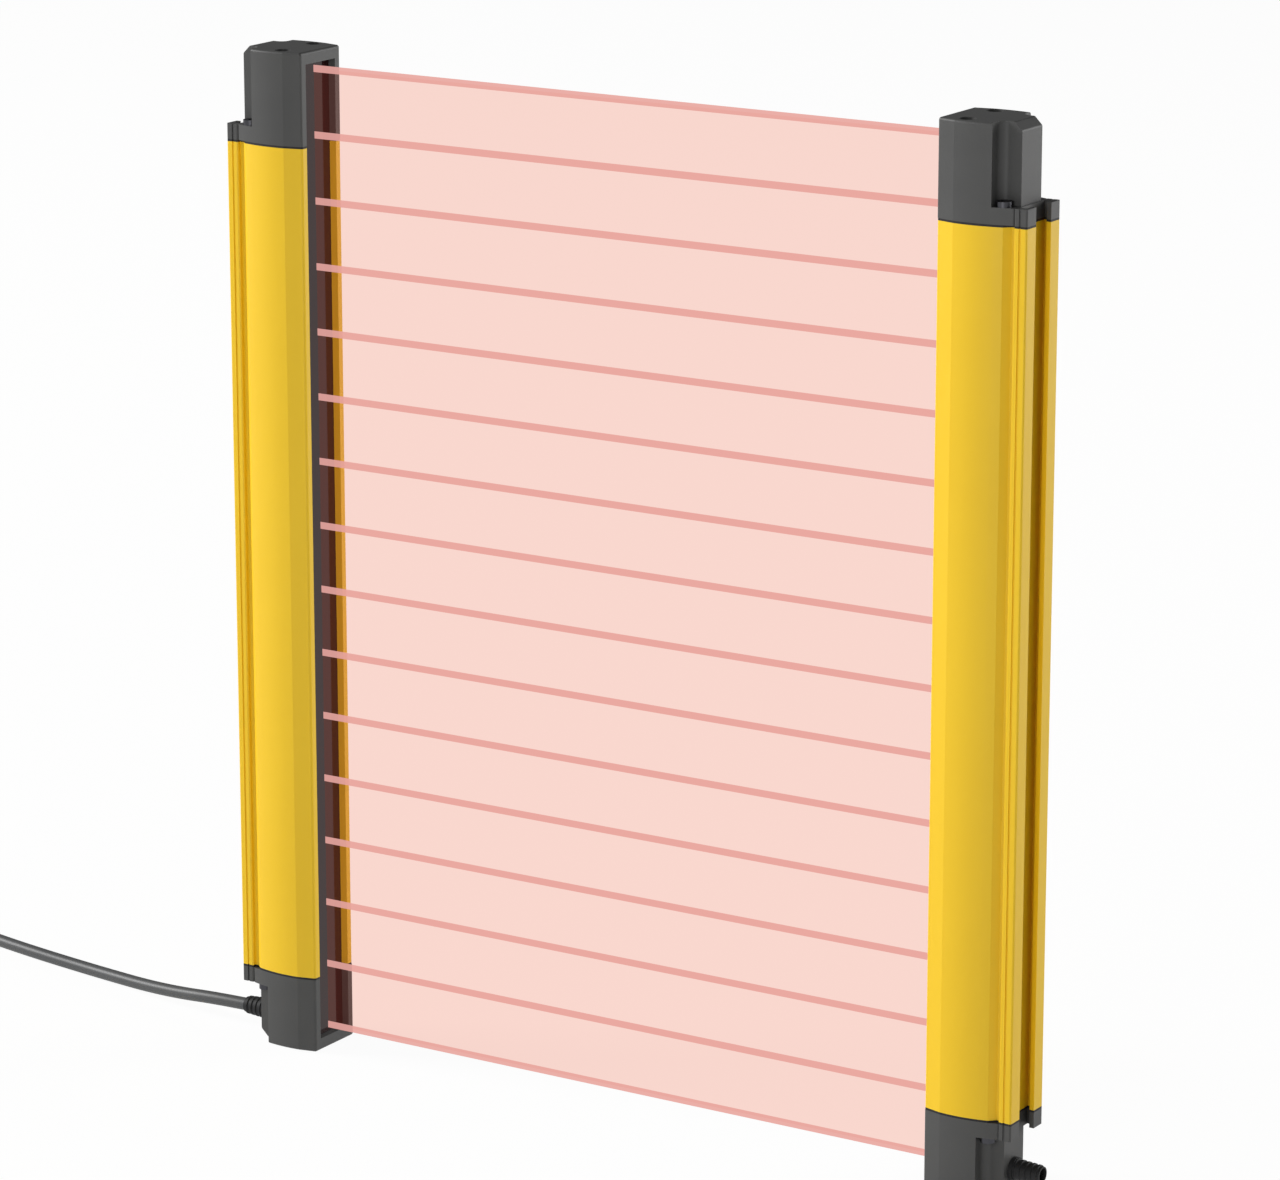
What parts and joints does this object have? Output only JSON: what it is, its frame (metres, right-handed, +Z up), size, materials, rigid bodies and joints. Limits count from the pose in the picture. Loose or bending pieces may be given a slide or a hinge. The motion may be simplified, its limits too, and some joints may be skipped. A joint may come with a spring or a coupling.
{
  "type": "safety light curtain",
  "caption": "Pair of slim yellow upright columns with black end caps that face each other and guard the gap between them with invisible beams, one with its lead and plug.",
  "frame": {"origin": "middle of the box round the two columns, half way between their front faces and half way up them", "axes": "+X from the emitter to the receiver along the beams, +Y away from the near side, +Z up along the columns"},
  "size_m": [0.6325, 0.05, 0.39],
  "materials": {
    "yellow_housing": "extruded aluminium with a smooth yellow powder coat",
    "dark_window": "polished dark red acrylic pane",
    "black_cap": "moulded glass-filled polyamide, fine matt texture",
    "black_rubber": "moulded rubber",
    "dark_screw": "black-oxide steel",
    "black_optics": "matt black moulding",
    "clear_lens": "clear moulded lens acrylic",
    "green_board": "glass-fibre board with green solder mask",
    "lamp_resin": "pale clear epoxy of the infrared lamps",
    "sensor_resin": "dark daylight-filter epoxy of the sensors",
    "chip_resin": "black moulding compound",
    "gold_contact": "gold-plated contact",
    "white_socket": "natural white nylon",
    "ribbon_sheath": "grey flat ribbon",
    "cable_sheath": "dark grey PVC sheath",
    "plug_moulding": "black overmoulded polyurethane",
    "plated_nut": "nickel-plated brass"
  },
  "bodies": {
    "light_curtain": {"cable": "cable_sheath", "emitter_board_components": "chip_resin", "emitter_board_header": "black_optics", "emitter_bottom_cap": "black_cap", "emitter_bottom_cap_screws": "dark_screw", "emitter_bottom_gasket": "black_rubber", "emitter_cable_clamp": "black_optics", "emitter_cable_gland": "black_rubber", "emitter_control_board": "green_board", "emitter_front_window": "dark_window", "emitter_header_pins": "gold_contact", "emitter_housing": "yellow_housing", "emitter_indicator_light_guide": "clear_lens", "emitter_lamps": "lamp_resin", "emitter_lead_ribbon": "ribbon_sheath", "emitter_lead_socket": "white_socket", "emitter_lens_strips": "clear_lens", "emitter_optical_board": "green_board", "emitter_optics_chassis": "black_optics", "emitter_top_cap": "black_cap", "emitter_top_cap_screws": "dark_screw", "emitter_top_gasket": "black_rubber", "emitter_window_seals": "black_rubber", "plug_body": "plug_moulding", "plug_insert": "black_optics", "plug_pins": "gold_contact", "plug_seal_ring": "black_rubber", "receiver_board_components": "chip_resin", "receiver_board_header": "black_optics", "receiver_bottom_cap": "black_cap", "receiver_bottom_cap_screws": "dark_screw", "receiver_bottom_gasket": "black_rubber", "receiver_cable_clamp": "black_optics", "receiver_cable_gland": "black_rubber", "receiver_control_board": "green_board", "receiver_front_window": "dark_window", "receiver_header_pins": "gold_contact", "receiver_housing": "yellow_housing", "receiver_indicator_light_guide": "clear_lens", "receiver_lead_socket": "white_socket", "receiver_lens_strips": "clear_lens", "receiver_optical_board": "green_board", "receiver_optics_chassis": "black_optics", "receiver_photodiodes": "sensor_resin", "receiver_top_cap": "black_cap", "receiver_top_cap_screws": "dark_screw", "receiver_top_gasket": "black_rubber", "receiver_window_seals": "black_rubber"},
    "coupling_nut": {"plug_coupling_nut": "plated_nut"}
  },
  "joints": [
    {"name": "coupling_nut_turn", "type": "hinge", "parent": "light_curtain", "child": "coupling_nut", "pos_m": [-0.44269, 0.02478, -0.1876], "axis": [-0.9894, -0.1455, 0], "continuous": true}
  ]
}
